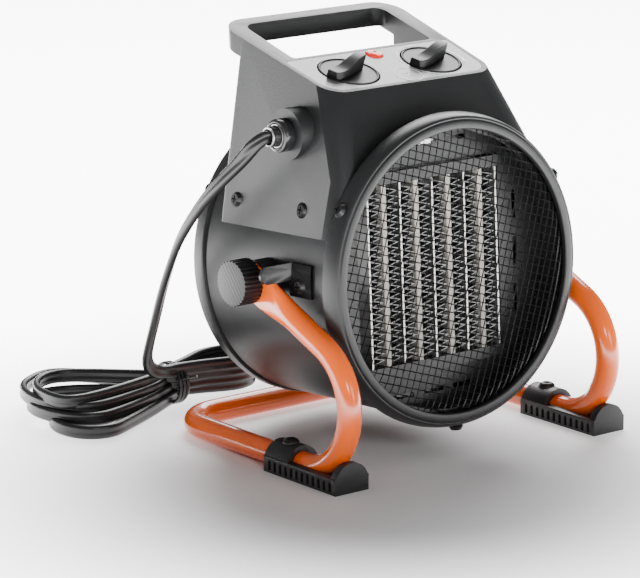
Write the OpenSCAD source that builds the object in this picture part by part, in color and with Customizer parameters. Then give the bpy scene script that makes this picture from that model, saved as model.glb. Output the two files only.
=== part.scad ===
// Round ceramic (PTC) space heater on a bent-tube stand that it tilts in.
// Millimetres. +Z is up, the warm air leaves along -Y, and the origin is on the floor
// below the middle of the heater and its stand.

/* [Stand] */
// Distance between the centre lines of the two side runs
stand_w = 209; // [204:1:260]
// Length of the stand on the floor, front of the front bend to back of the crossbar
stand_l = 188; // [180:1:240]
// Outer diameter of the tube
tube_d = 15; // [12:0.5:18]
// Wall of the tube
tube_wall = 1.5; // [1:0.1:2.5]
// Centre-line radius of the front bends
bend_r = 40; // [30:1:44]
// Centre-line radius of the two bends at the ends of the crossbar
rear_bend_r = 28; // [20:1:34]
// Width of the flattened tube end at the pivot
strap_w = 24; // [20:0.5:28]
// Thickness of the flattened tube end
strap_t = 4; // [3:0.5:5]

/* [Feet] */
// Length of a rubber foot
foot_l = 70; // [60:1:80]
// Width of a rubber foot
foot_w = 25.6; // [22:0.2:30]
// Height of a foot's side walls
foot_wall_h = 10; // [8:0.5:12]
// Height of a foot's rounded ends, over the tube
foot_top_h = 18.8; // [17.6:0.2:22]
// Length of the rounded rear end that the screw goes through
foot_hood_l = 22; // [18:1:26]
// Number of grip slots along each side
foot_slots = 12; // [6:1:14]

/* [Tilt] */
// Height of the pivots over the floor
pivot_h = 113.5; // [112.5:0.5:125]
// Pivots behind the middle of the stand
pivot_back = 6; // [4:1:8]
// How far the heater leans back as drawn
tilt = 3.5; // [3:0.5:4.5]
// Diameter of the pivot stud
stud_d = 6; // [5:0.5:8]
// Diameter of a thumb knob
thumb_d = 28.4; // [24:0.2:34]
// Length of a thumb knob
thumb_l = 13.5; // [10:0.5:18]
// Flutes around a thumb knob
thumb_flutes = 30; // [16:1:32]
// Reach of a stop tab from the drum
tab_reach = 25; // [20:1:26]

/* [Drum] */
// Outer diameter of the drum
drum_d = 186.6; // [182:0.2:190]
// Thickness of the drum's sheet
drum_wall = 1; // [0.8:0.1:1.6]
// Front bezel to back ring, overall
heater_l = 148; // [144:1:156]
// Outer diameter of the front bezel
bezel_d = 196; // [194:1:198]
// Hole in the front bezel
bezel_hole_d = 176; // [160:1:178]
// Depth of the front bezel
bezel_l = 13; // [11:1:15]
// Outer diameter of the back ring
ring_d = 189.4; // [187:0.2:192]
// Width of the back ring
ring_l = 11; // [9:1:14]
// Pivots behind the bezel's front
pivot_from_front = 70.5; // [68:0.5:74]
// Pivots over the drum's centre line
pivot_over_axis = 2; // [0:0.5:4]

/* [Housing] */
// Width of the top at its front
top_front_w = 133; // [126:1:140]
// Width of the top at its back
top_back_w = 138.6; // [130:1:146]
// Length of the top, with the handle
top_l = 114.5; // [108:0.5:122]
// Slope of the top, falling to the front
top_slope = 18.7; // [14:0.1:22]
// Front edge of the top over the drum's centre line
top_front_h = 114.5; // [112:0.5:122]
// Front edge of the top behind the bezel's front
top_front_back = 36.5; // [32:0.5:40]
// Width over the skirt's lower edges
skirt_w = 182; // [180:0.5:184]
// Skirt's lower edge over the drum's centre line
skirt_h = 30.5; // [26:0.5:34]
// Back of the skirt behind the bezel's front
skirt_back = 124; // [118:1:128]
// Wall of the housing
house_wall = 2.5; // [2:0.1:3]
// Width of the hand opening
grip_w = 111; // [100:1:114]
// Hand opening's front edge, along the top from its front
grip_front = 52.5; // [52:0.5:56]
// Thickness of the bar that the hand holds
bar_w = 8.5; // [8:0.5:12]
// Depth of the handle loop
bar_h = 12; // [10:0.5:14]
// Room for the fingers below the handle's top
finger_room = 36; // [34:1:40]

/* [Controls] */
// Diameter of a control knob's disc
knob_d = 38; // [34:0.5:40]
// Height of a control knob's grip over the top
knob_h = 13.5; // [12:0.5:18]
// Height of a knob's grip at its low end
knob_low_h = 7; // [5:0.5:9]
// Each knob's distance from the middle
knob_x = 33; // [30:0.5:36]
// Knob centres, along the top from its front
knob_s = 25.3; // [24:0.1:27]
// Gap around a knob's disc
knob_gap = 0.9; // [0.6:0.1:1.2]
// Diameter of the pilot lamp's lens
lens_d = 12; // [8:0.5:13]
// Diameter of a control shaft
shaft_d = 6; // [5:0.5:6.5]
// Thickness of the control plate
plate_t = 1; // [0.8:0.1:1.4]

/* [Cable gland] */
// Diameter of the raised boss on the housing's side
boss_d = 32; // [28:0.5:36]
// Boss face from the heater's middle
boss_x = 84; // [83:0.5:86]
// Gland behind the bezel's front
gland_y = 60; // [56:1:64]
// Gland over the drum's centre line
gland_z = 90; // [86:1:92]
// Diameter of the gland's nut
nut_d = 20.6; // [18:0.2:24]
// Length of the gland's nut
nut_l = 8; // [6:0.5:10]
// Diameter of the strain relief at its outer end
relief_d = 12; // [11:0.5:14]

/* [Heating core] */
// Width of the heating core
core_w = 104; // [90:1:112]
// Height of the heating core
core_h = 113; // [100:1:118]
// Depth of the heating core
core_t = 14; // [10:1:18]
// Front of the heating core behind the bezel's front
core_y = 24; // [22:1:28]
// Number of heating columns
core_columns = 4; // [3:1:5]
// Width of a ceramic strip
strip_w = 3.6; // [2:0.2:5]
// Thickness of an end plate
core_plate_t = 1.2; // [0.8:0.1:2]
// Pitch of the fins
fin_pitch = 4; // [3:0.5:6]

/* [Fan] */
// Diameter over the fan's blades
fan_d = 158; // [120:1:168]
// Number of blades
blades = 5; // [3:1:9]
// Diameter of the motor
motor_d = 52; // [40:1:60]
// Length of the motor
motor_l = 32; // [24:1:36]
// Diameter of the motor's shaft
motor_shaft_d = 5; // [4:0.5:6]

/* [Cord] */
// Width of the flat cord
cord_w = 9; // [8:0.5:10]
// Thickness of the flat cord
cord_t = 5; // [4:0.5:6]
// Height of the tied hank on the floor
hank_h = 26; // [20:1:30]

/* [Hidden] */
$fn = 96;
gap = 0.3;
slip = 0.05;
stub = 0.2;

// Stand
side_x = stand_w / 2;
tube_r = tube_d / 2;
rest_z = tube_r + 2 * slip;
bend_y = -stand_l / 2 + tube_r + bend_r;
bend_z = rest_z + bend_r;
cross_y = stand_l / 2 - tube_r;
corner_y = cross_y - rear_bend_r;
pivot_dy = pivot_back - bend_y;
pivot_dz = pivot_h - bend_z;
pivot_dist = sqrt(pivot_dy * pivot_dy + pivot_dz * pivot_dz);
leg_angle = atan2(pivot_dz, pivot_dy) - asin(bend_r / pivot_dist);
leg_l = sqrt(pivot_dist * pivot_dist - bend_r * bend_r);
taper_l = 44;
strap_in = side_x;
strap_out = strap_in + strap_t;
strap_mid = strap_t / 2;
strap_hole_d = stud_d + 2 * slip;

// Feet
foot_front = -stand_l / 2 + 5;
foot_back = foot_front + foot_l;
foot_screw_y = foot_back - foot_hood_l / 2;
foot_screw_d = 4;
foot_head_d = 11;
foot_toe_l = 5.5;
slot_pitch = (foot_l - 6) / foot_slots;

// Drum
drum_r = drum_d / 2;
drum_front = 4;
drum_back = heater_l - ring_l - 2.5;
ring_front = heater_l - ring_l;
bezel_face_r = bezel_d / 2 - 3.5;
bezel_screws = [30, 150, 270];
radial_screw_d = 4;
radial_head_d = 9.4;
radial_head_h = 2.4;
spacer_d = 24;

// Stop tabs: each stands just over the leg, so that the heater can't tip forward
tab_t = 2;
tab_h = 11;
tab_clear = 3;
tab_y = pivot_from_front - 24.5;
tab_screw_y = tab_y - 9;
tab_screw_z = 0.5;
tab_lean = leg_angle + tilt;
tab_dist = (pivot_from_front - tab_y) / cos(tab_lean);
leg_half = (strap_w - (strap_w - tube_d) * tab_dist / taper_l) / 2;
tab_z = pivot_over_axis - tab_dist * sin(tab_lean) + leg_half / cos(tab_lean) + tab_clear;

// Housing
top_back_s = (skirt_back - top_front_back) / cos(top_slope);
front_break_h = 64;
side_spread = 3;
front_y = bezel_l + gap;
seat_r = drum_r + gap;
grip_back = top_l - bar_w;
grip_open_y = top_front_back + grip_front * cos(top_slope);
grip_under = top_front_h + grip_back * sin(top_slope) - bar_h;
grip_floor = grip_under - finger_room;
skirt_screws_y = [42, 107];
skirt_screw_z = 45.5;
flare = (skirt_w - top_front_w) / 2 / (top_front_h - skirt_h);

// Controls
panel_back = grip_front - 4;
recess_d = knob_d + 2 * knob_gap;
recess_depth = 4;
switch_top = -recess_depth - house_wall - gap;
shaft_foot = switch_top - 13;
lens_x = 1.3;
lens_s = 43;
knob_disc_h = 3;
knob_turns = [-70, -70];

// Core
column_pitch = (core_w - core_plate_t) / core_columns;
fin_w = (column_pitch - core_plate_t - strip_w) / 2 - 2 * stub;
core_back = core_y + core_t;
core_bar_h = 7;
fin_t = 0.4;
baffle_y = core_y + 4.5;
baffle_t = 1;
baffle_r = drum_r - drum_wall - gap;
baffle_screws_at = [45, 135, 197, 343];
baffle_tab_l = 7;
baffle_screw_y = baffle_y - 3.5;
slot_r = 78;

// Fan
fan_y = 66;
fan_l = 20;
hub_d = 44;
motor_front = 92;
bracket_t = 2;
grille_t = 1.2;
grille_y = heater_l - 2 - grille_t - slip;
grille_r = ring_d / 2 - 5;
grille_rim_l = 9;
ring_screw_y = ring_front + ring_l / 2 - 1;
duct_r = drum_r - 8.3;
duct_y = core_back + 8;
duct_l = 70;

// Gland and plug
gland_bore_d = 16;
relief_in = boss_x - 8;
relief_out = boss_x + nut_l + 6;
plug_x = 2.1;
plug_y = 142;
tie_x = -74;
tie_w = 6;

// The cord's way from the gland down to the hank, chosen by hand
cord_route = [
    [-103, 1, 202], [-105, 4, 199], [-108, 10, 190], [-111, 20, 180], [-113, 32, 169],
    [-113, 46, 157], [-113, 60, 142], [-113, 72, 127], [-112, 83, 109], [-111, 93, 90],
    [-108, 105, 68], [-104, 117, 48], [-99, 126, hank_h + 8], [-95, 130, hank_h - 1]
];

// ---------- frames ----------

// Heater frame: y back from the bezel's front, z over the drum's centre line.
module in_heater() {
    translate([0, pivot_back, pivot_h])
        rotate([-tilt, 0, 0])
            translate([0, -pivot_from_front, -pivot_over_axis])
                children();
}

// Top frame: y along the sloping top from its front edge, z out of it.
module on_top() {
    translate([0, top_front_back, top_front_h])
        rotate([top_slope, 0, 0])
            children();
}

// Turns a shape drawn up the z axis to run back along the drum.
module along_drum(y = 0) {
    translate([0, y, 0]) rotate([-90, 0, 0]) children();
}

// Turns a shape drawn up the z axis to stick out of the drum at an angle.
module radial(angle, y, r) {
    translate([0, y, 0]) rotate([0, -angle, 0]) translate([r, 0, 0]) rotate([0, 90, 0]) children();
}

// Turns a shape drawn up the z axis to stick out to the right.
module to_right(x, y, z) {
    translate([x, y, z]) rotate([0, 90, 0]) children();
}

module both_sides() {
    children();
    mirror([1, 0, 0]) children();
}

// ---------- shared shapes ----------

// Points of a symmetric trapezoid with rounded corners: half-widths a and b, from y0 to y1.
function arc_points(cx, cy, r, from, to, steps = 6) =
    [for (i = [0:steps]) let (t = from + (to - from) * i / steps) [cx + r * cos(t), cy + r * sin(t)]];
function outline(a, b, y0, y1, r0, r1) = concat(
    arc_points(-a + r0, y0 + r0, r0, 180, 270), arc_points(a - r0, y0 + r0, r0, 270, 360),
    arc_points(b - r1, y1 - r1, r1, 0, 90), arc_points(-b + r1, y1 - r1, r1, 90, 180));

module slab(points, z) {
    translate([0, 0, z]) linear_extrude(stub) polygon(points);
}

module pipe(r_out, r_in, l) {
    difference() {
        cylinder(r = r_out, h = l);
        translate([0, 0, -1]) cylinder(r = r_in, h = l + 2);
    }
}

// Cross-head screw, head up, with its seat at z = 0.
module screw(d, l, head_d, head_h) {
    difference() {
        union() {
            cylinder(d1 = head_d, d2 = head_d * 0.7, h = head_h);
            translate([0, 0, -l]) cylinder(d = d, h = l + stub);
        }
        for (turn = [0, 90])
            rotate([0, 0, turn])
                translate([-head_d * 0.25, -0.5, head_h - 1.2]) cube([head_d * 0.5, 1, 2]);
    }
}

// ---------- stand ----------

module ring_section(d_out, d_in) {
    difference() {
        circle(d = d_out);
        circle(d = d_in);
    }
}

// A bend's wall is a hair thicker both ways, so that the straight runs end inside it.
module elbow(r, angle, d_out, d_in) {
    rotate_extrude(angle = angle) translate([r, 0]) ring_section(d_out + stub, d_in - stub);
}

module straight(l, d_out, d_in) {
    translate([0, 0, -stub]) linear_extrude(l + 2 * stub) ring_section(d_out, d_in);
}

module bent_tube(d_out, d_in) {
    translate([-(side_x - rear_bend_r), cross_y, rest_z])
        rotate([0, 90, 0]) straight(2 * (side_x - rear_bend_r), d_out, d_in);
    both_sides() {
        translate([side_x - rear_bend_r, corner_y, rest_z]) elbow(rear_bend_r, 90, d_out, d_in);
        translate([side_x, bend_y, rest_z]) rotate([-90, 0, 0]) straight(corner_y - bend_y, d_out, d_in);
        translate([side_x, bend_y, bend_z])
            rotate([0, 90, 0]) rotate([0, 0, leg_angle + 180]) elbow(bend_r, 180 - leg_angle, d_out, d_in);
        leg() straight(leg_l - taper_l - stub, d_out, d_in);
    }
}

// Leg frame: z runs up the straight leg from the end of the front bend.
module leg() {
    translate([side_x, bend_y, bend_z])
        rotate([leg_angle, 0, 0])
            translate([0, 0, bend_r])
                rotate([-90, 0, 0])
                    children();
}

module stand_tube() {
    color("orangered") {
        difference() {
            bent_tube(tube_d, tube_d - 2 * tube_wall);
            both_sides() translate([side_x, foot_screw_y, rest_z]) cylinder(d = foot_screw_d, h = tube_d);
        }
        both_sides() difference() {
            hull() {
                leg() translate([0, 0, leg_l - taper_l - 2]) cylinder(d = tube_d - tube_wall, h = 1, $fn = 32);
                leg() translate([strap_mid, 0, leg_l])
                    rotate([0, 90, 0]) cylinder(d = strap_w, h = strap_t, center = true, $fn = 48);
            }
            to_right(strap_in - 20, pivot_back, pivot_h) {
                cylinder(d = strap_hole_d, h = 40);
                cylinder(d = spacer_d + 4 * gap, h = 20 - gap / 3);
                translate([0, 0, 20 + strap_t + gap / 3]) cylinder(d = thumb_d + 4 * gap, h = 20);
            }
        }
    }
}

// ---------- feet ----------

// Rounded hood over the tube, on a foot's end.
module foot_arch(l) {
    intersection() {
        translate([0, 0, foot_top_h - foot_w / 2]) rotate([-90, 0, 0]) cylinder(d = foot_w, h = l);
        translate([-foot_w / 2, 0, 0]) cube([foot_w, l, foot_top_h]);
    }
}

module foot() {
    difference() {
        union() {
            translate([-foot_w / 2, foot_front, 0]) cube([foot_w, foot_l, foot_wall_h]);
            translate([0, foot_front, 0]) foot_arch(foot_toe_l);
            translate([0, foot_back - foot_hood_l, 0]) foot_arch(foot_hood_l);
        }
        translate([0, bend_y, rest_z])
            rotate([-90, 0, 0]) cylinder(d = tube_d + 2 * slip, h = foot_l * 2);
        intersection() {
            translate([-tube_r - gap, bend_y, bend_z])
                rotate([0, 90, 0]) cylinder(r = bend_r + tube_r + gap, h = tube_d + 2 * gap);
            translate([-foot_w, foot_front - 1, -1]) cube([2 * foot_w, foot_l - foot_hood_l + 1, foot_top_h + 2]);
        }
        translate([-tube_r * 0.4, foot_front + foot_toe_l, -1]) cube([tube_r * 0.8, foot_l, 6]);
        translate([-tube_r - gap, foot_front + foot_toe_l, rest_z])
            cube([tube_d + 2 * gap, foot_l - foot_toe_l - foot_hood_l, foot_top_h]);
        translate([0, foot_screw_y, 0]) cylinder(d = foot_screw_d, h = foot_top_h * 2);
        translate([0, foot_screw_y, foot_top_h - 1]) cylinder(d = foot_head_d + 2 * slip, h = 5);
        for (i = [0:foot_slots - 1], side = [-1, 1])
            translate([side * foot_w / 2, foot_front + 3 + slot_pitch * (i + 0.5), 1.6])
                foot_slot();
    }
}

// Pointed slot, 1.6 deep, cut into a foot's side wall.
module foot_slot() {
    translate([-1.6, 0, 0])
        rotate([90, 0, 90])
            linear_extrude(3.2)
                polygon([[-1.3, 0], [1.3, 0], [1.3, 4.8], [0, 6.6], [-1.3, 4.8]]);
}

module left_foot() {
    color("#1b1b1c") translate([-side_x, 0, 0]) foot();
}

module right_foot() {
    color("#1b1b1c") translate([side_x, 0, 0]) foot();
}

module foot_screws() {
    color("#242426") both_sides()
        translate([side_x, foot_screw_y, foot_top_h - 1]) {
            intersection() {
                translate([0, 0, -6.2]) sphere(r = 9.6);
                cylinder(d = foot_head_d, h = 4);
            }
            translate([0, 0, rest_z + 3 - foot_top_h])
                cylinder(d = foot_screw_d - 2 * slip, h = foot_top_h - rest_z - 2);
        }
}

// ---------- drum ----------

module drum_shell() {
    color("#2b2b2d") in_heater() difference() {
        along_drum(drum_front) pipe(drum_r, drum_r - drum_wall, drum_back - drum_front);
        both_sides() {
            to_right(drum_r - 20, pivot_from_front, pivot_over_axis) cylinder(d = stud_d + 2 * gap, h = 40);
            to_right(drum_r - 20, tab_screw_y, tab_screw_z) cylinder(d = radial_screw_d + gap, h = 40);
            for (y = skirt_screws_y) skirt_place(y) translate([0, 0, -30]) cylinder(d = radial_screw_d + gap, h = 40);
        }
        for (a = bezel_screws) {
            radial(a, bezel_l / 2 + 2, drum_r - 10) cylinder(d = radial_screw_d + gap, h = 20);
        }
        for (a = baffle_screws_at) radial(a, baffle_screw_y, drum_r - 10) cylinder(d = 3 + gap, h = 20);
        // way for the wires up into the housing
        translate([-24, 78, drum_r - 14]) cube([48, 22, 20]);
    }
}

module front_bezel() {
    color("#303032") in_heater() difference() {
        along_drum() rotate_extrude() polygon([
            [bezel_hole_d / 2, 0.8], [bezel_hole_d / 2 + 0.8, 0],
            [bezel_face_r, 0], [bezel_face_r + 1.2, 0.6], [bezel_d / 2 - 1, 4.5],
            [bezel_d / 2, 8], [bezel_d / 2, bezel_l],
            [drum_r + slip * 2, bezel_l], [drum_r + slip * 2, drum_front - slip],
            [bezel_hole_d / 2 + 1.5, drum_front - slip], [bezel_hole_d / 2, 2.4]
        ]);
        for (a = bezel_screws)
            radial(a, bezel_l / 2 + 2, drum_r - 10) cylinder(d = radial_screw_d + gap, h = 40);
    }
}

module bezel_screws() {
    color("#1f1f21") in_heater()
        for (a = bezel_screws)
            radial(a, bezel_l / 2 + 2, bezel_d / 2) screw(radial_screw_d, 8, radial_head_d, radial_head_h);
}

// Wire guard behind the bezel's hole: a rim and square meshes.
module front_guard() {
    mesh = 8;
    wire = 1.2;
    r = drum_r - drum_wall - gap;
    count = ceil(r / mesh);
    color("#151516") in_heater() along_drum(drum_front + slip) {
        pipe(r, r - 7, 1.5);
        linear_extrude(1.5) intersection() {
            circle(r = r - 6.8);
            rotate(18) difference() {
                square(2 * r, center = true);
                for (i = [-count:count - 1], j = [-count:count - 1])
                    if (norm([(i + 0.5) * mesh, (j + 0.5) * mesh]) < r - 8)
                        translate([i * mesh + wire / 2, j * mesh + wire / 2]) square(mesh - wire);
            }
        }
    }
}

module back_ring() {
    in_r = drum_r - drum_wall - gap / 2;
    color("#303032") in_heater() difference() {
        along_drum() rotate_extrude() polygon([
            [in_r - 2, drum_back - 8], [in_r, drum_back - 8], [in_r, ring_front],
            [ring_d / 2 - 1.5, ring_front], [ring_d / 2, ring_front + 1.5],
            [ring_d / 2, heater_l - 3], [ring_d / 2 - 3, heater_l],
            [grille_r - 4, heater_l], [grille_r - 4, heater_l - 2],
            [ring_d / 2 - 4, heater_l - 2], [in_r - 2, ring_front + 2]
        ]);
        for (a = bezel_screws) {
            radial(a, ring_screw_y, drum_r - 20) cylinder(d = radial_screw_d + gap, h = 40);
        }
    }
}

module ring_screws() {
    color("#1f1f21") in_heater()
        for (a = bezel_screws)
            radial(a, ring_screw_y, ring_d / 2)
                screw(radial_screw_d, 8, radial_head_d, radial_head_h);
}

// Pressed grille: a dished disc with rings of air slots and a plain middle.
module back_grille() {
    rings = [for (r = [34:9:78]) r];
    color("#1d1d1e") in_heater() difference() {
        union() {
            along_drum(grille_y) cylinder(r = grille_r - gap, h = grille_t);
            along_drum(grille_y - grille_rim_l) pipe(grille_r - gap, grille_r - gap - 1, grille_rim_l + stub);
        }
        for (a = bezel_screws)
            radial(a, ring_screw_y, drum_r - 20) cylinder(d = radial_screw_d + gap, h = 40);
        along_drum(grille_y - 1) for (r = rings) {
            count = floor(2 * PI * r / 26);
            for (i = [0:count - 1])
                rotate([0, 0, 360 * (i + (r % 2) / 2) / count])
                    linear_extrude(4) air_slot(r, 360 / count - 360 * 7 / (2 * PI * r));
        }
    }
}

// Slot on an arc of radius r, a given angle long, 4.5 wide.
module air_slot(r, angle) {
    steps = 4;
    polygon(concat(
        [for (i = [0:steps]) let (t = angle * (i / steps - 0.5)) (r + 2.25) * [cos(t), sin(t)]],
        [for (i = [steps:-1:0]) let (t = angle * (i / steps - 0.5)) (r - 2.25) * [cos(t), sin(t)]]));
}

// ---------- pivots, thumb knobs and stops ----------

module pivot_studs() {
    color("#8c8c8e") in_heater() both_sides() {
        to_right(drum_r - drum_wall - 4, pivot_from_front, pivot_over_axis) {
            cylinder(d = 14, h = 3);
            cylinder(d = stud_d, h = strap_out + thumb_l - 3 - (drum_r - drum_wall - 4));
        }
    }
}

module pivot_spacers() {
    color("#161617") in_heater() both_sides() difference() {
        to_right(drum_r - 6, pivot_from_front, pivot_over_axis)
            pipe(spacer_d / 2, stud_d / 2 + slip, strap_in - gap - drum_r + 6);
        along_drum() cylinder(r = drum_r + slip, h = heater_l);
    }
}

module thumb_knob() {
    flute_r = thumb_d / 2;
    difference() {
        cylinder(d = thumb_d, h = thumb_l);
        translate([0, 0, -1]) cylinder(d = stud_d + 2 * slip, h = thumb_l - 1.5);
        for (i = [0:thumb_flutes - 1])
            rotate([0, 0, 360 * i / thumb_flutes])
                translate([flute_r + 0.2, 0, -1]) cylinder(d = 1.9, h = thumb_l + 2, $fn = 6);
    }
}

module right_thumb_knob() {
    color("#202022") in_heater()
        to_right(strap_out + gap, pivot_from_front, pivot_over_axis) thumb_knob();
}

module left_thumb_knob() {
    color("#202022") in_heater() mirror([1, 0, 0])
        to_right(strap_out + gap, pivot_from_front, pivot_over_axis) thumb_knob();
}

module stop_tabs() {
    color("#141415") in_heater() both_sides() difference() {
        union() {
            intersection() {
                along_drum() pipe(drum_r + slip + tab_t, drum_r + slip, heater_l);
                translate([drum_r - 10, tab_y - 19, tab_screw_z - 7]) cube([20, 19 + tab_t, tab_z + tab_h + 7 - tab_screw_z]);
            }
            translate([drum_r - 0.4, tab_y, tab_z]) cube([tab_reach - tab_h / 2 + 0.4, tab_t, tab_h]);
            translate([drum_r + tab_reach - tab_h / 2, tab_y, tab_z + tab_h / 2])
                rotate([-90, 0, 0]) cylinder(d = tab_h, h = tab_t);
        }
        along_drum() cylinder(r = drum_r + slip, h = heater_l);
        to_right(drum_r - 20, tab_screw_y, tab_screw_z) cylinder(d = radial_screw_d + gap, h = 40);
    }
}

module tab_screws() {
    color("#1f1f21") in_heater() both_sides()
        to_right(drum_r + tab_t + 2 * slip, tab_screw_y, tab_screw_z)
            screw(radial_screw_d, 8, radial_head_d, radial_head_h);
}

// ---------- upper housing ----------

// Half-width of the housing's side at a height over the drum's centre line, at its front.
function side_at(z) = skirt_w / 2 - flare * (z - skirt_h);

// Share of the way from the skirt's front to its back, and the side's slope there.
function along(y) = (y - front_y) / (skirt_back - front_y);
function lean_at(y) = flare - side_spread * along(y) / (front_break_h - skirt_h);

// Frame of a skirt screw: z sticks out of the sloping side.
module skirt_place(y) {
    translate([skirt_w / 2 - lean_at(y) * (skirt_screw_z - skirt_h) + slip, y, skirt_screw_z])
        rotate([0, 90 - atan(lean_at(y)), 0]) children();
}

module house_outer() {
    hull() {
        on_top() slab(outline(top_front_w / 2, top_front_w / 2 + (top_back_w - top_front_w) / 2 * top_back_s / top_l,
            0, top_back_s, 15, 6), -stub);
        slab(outline(side_at(front_break_h), side_at(front_break_h) + side_spread, front_y, skirt_back, 12, 7), front_break_h);
        slab(outline(skirt_w / 2, skirt_w / 2, front_y, skirt_back, 10, 6), skirt_h);
    }
}

// An outline on the sloping top, seen from straight above.
function plan(points) = [for (p = points) [p[0], top_front_back + p[1] * cos(top_slope)]];

module handle_loop() {
    intersection() {
        linear_extrude(2 * top_front_h)
            polygon(plan(outline(top_back_w / 2 - 1.4, top_back_w / 2, grip_front + 20, top_l, 1, 18)));
        on_top() translate([-top_back_w, 0, -bar_h]) cube([2 * top_back_w, 2 * top_l, bar_h]);
    }
}

// Hand space: open through the top and at the back.
module hand_space() {
    translate([0, 0, grip_floor]) linear_extrude(top_front_h)
        polygon(plan(outline(grip_w / 2, grip_w / 2, grip_front, grip_back, 3, 8)));
    translate([-grip_w / 2, grip_open_y + 10, grip_floor])
        cube([grip_w, skirt_back + 30 - grip_open_y, grip_under - grip_floor]);
}

module house_cavity() {
    w = house_wall;
    hull() {
        on_top() slab(outline(top_front_w / 2 - w, top_front_w / 2 - w, w, panel_back - w, 12, 2), -recess_depth - w);
        slab(outline(side_at(front_break_h) - w - 0.5, side_at(front_break_h) - w, front_y + w, grip_open_y - w, 10, 4),
            front_break_h);
        slab(outline(skirt_w / 2 - w, skirt_w / 2 - w, front_y + w, grip_open_y - w, 8, 4), 0);
    }
    hull() {
        slab(outline(side_at(grip_floor) - w - 1, side_at(grip_floor) - w, top_front_back + w, skirt_back - w, 6, 5),
            grip_floor - w - stub);
        slab(outline(skirt_w / 2 - w, skirt_w / 2 - w, front_y + w, skirt_back - w, 8, 4), 0);
    }
}

module upper_housing() {
    color("#39393b") in_heater() difference() {
        union() {
            house_outer();
            handle_loop();
            mirror([1, 0, 0]) to_right(boss_x - 24, gland_y, gland_z) cylinder(d = boss_d, h = 24);
        }
        hand_space();
        difference() {
            house_cavity();
            mirror([1, 0, 0]) to_right(boss_x - 18, gland_y, gland_z) cylinder(d = boss_d - 4, h = 30);
        }
        along_drum(-5) cylinder(r = seat_r, h = heater_l);
        mirror([1, 0, 0]) to_right(0, gland_y, gland_z) cylinder(d = gland_bore_d, h = 200);
        on_top() {
            translate([0, 0, -plate_t]) linear_extrude(plate_t + 1) polygon(plate_outline(0));
            for (x = [-knob_x, knob_x]) {
                translate([x, knob_s, -recess_depth]) cylinder(d = recess_d, h = 20);
                translate([x, knob_s, -30]) cylinder(d = shaft_d + 2, h = 40);
            }
            translate([lens_x, lens_s, -30]) cylinder(d = lens_d + gap, h = 40);
        }
        both_sides() for (y = skirt_screws_y)
            skirt_place(y) {
                translate([0, 0, -20]) cylinder(d = radial_screw_d + gap, h = 40);
                cylinder(d = radial_head_d + 2 * gap, h = 20);
            }
    }
}

function plate_outline(inset) = outline(
    top_front_w / 2 - 3.5 - inset, top_front_w / 2 - 2 - inset, 3 + inset, grip_front - 3 - inset, 12, 3);

module control_plate() {
    color("#4a4a4c") in_heater() on_top() difference() {
        translate([0, 0, -plate_t + slip]) linear_extrude(plate_t - slip) polygon(plate_outline(0.15));
        for (x = [-knob_x, knob_x])
            translate([x, knob_s, -5]) cylinder(d = recess_d, h = 10);
        translate([lens_x, lens_s, -5]) cylinder(d = lens_d + gap, h = 10);
    }
}

module skirt_screws() {
    color("#1f1f21") in_heater() both_sides()
        for (y = skirt_screws_y) skirt_place(y) screw(radial_screw_d, 10, radial_head_d, radial_head_h);
}

// ---------- controls ----------

module lamp_lens() {
    color("red") in_heater() on_top() translate([lens_x, lens_s, 0]) {
        translate([0, 0, -3]) cylinder(d = lens_d, h = 3);
        intersection() {
            translate([0, 0, 1.6 - lens_d]) sphere(r = lens_d);
            cylinder(d = lens_d, h = 5);
        }
    }
}

module lamp_holder() {
    color("#e8e4da") in_heater() on_top() translate([lens_x, lens_s, -3 - 14])
        cylinder(d = lens_d - 1, h = 14 - slip);
}

module control_knob(turn) {
    rotate([0, 0, turn]) difference() {
        union() {
            translate([0, 0, -knob_disc_h + 0.6]) cylinder(d = knob_d, h = knob_disc_h);
            hull() {
                translate([0, -knob_d / 2 + 4.5, 0]) cylinder(d = 9, h = knob_low_h, $fn = 32);
                translate([0, knob_d / 2 - 3.5, 0]) cylinder(d = 6, h = knob_h, $fn = 32);
            }
        }
        translate([0, 0, -10]) cylinder(d = shaft_d, h = 10 + knob_low_h - 1.5);
    }
}

module power_knob() {
    color("#232325") in_heater() on_top() translate([-knob_x, knob_s, 0]) control_knob(knob_turns[0]);
}

module heat_knob() {
    color("#232325") in_heater() on_top() translate([knob_x, knob_s, 0]) control_knob(knob_turns[1]);
}

module control_shaft() {
    translate([0, 0, shaft_foot]) cylinder(d = shaft_d, h = knob_low_h - 1.5 - shaft_foot);
}

module power_shaft() {
    color("#d8d3c4") in_heater() on_top() translate([-knob_x, knob_s, 0]) control_shaft();
}

module heat_shaft() {
    color("#b9b9b4") in_heater() on_top() translate([knob_x, knob_s, 0]) control_shaft();
}

module power_switch() {
    color("#e3ddcb") in_heater() on_top() translate([-knob_x, knob_s, switch_top - 19]) difference() {
        union() {
            translate([-14, -14, 0]) cube([28, 28, 19]);
            for (x = [-9, 0, 9], y = [-9, 9]) translate([x - 3, y - 0.4, -3]) cube([6, 0.8, 4]);
        }
        translate([0, 0, 5]) cylinder(d = shaft_d + 2 * slip, h = 20);
    }
}

module thermostat() {
    color("#c9c4b4") in_heater() on_top() translate([knob_x, knob_s, switch_top - 19]) difference() {
        union() {
            cylinder(d = 26, h = 12);
            translate([-13, -5, 11]) cube([26, 10, 8]);
            for (x = [-16, 12]) translate([x, -3, 4]) cube([4, 6, 1]);
        }
        translate([0, 0, 5]) cylinder(d = shaft_d + 2 * slip, h = 20);
    }
}

module thermal_cutout() {
    color("#cfcfc9") in_heater() along_drum(baffle_y + baffle_t + slip)
        translate([0, -slot_r - 4, 0]) {
            cylinder(d = 14, h = 7);
            for (x = [-9.5, 5.5]) translate([x, -2, 2]) cube([4, 4, 1]);
        }
}

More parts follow.
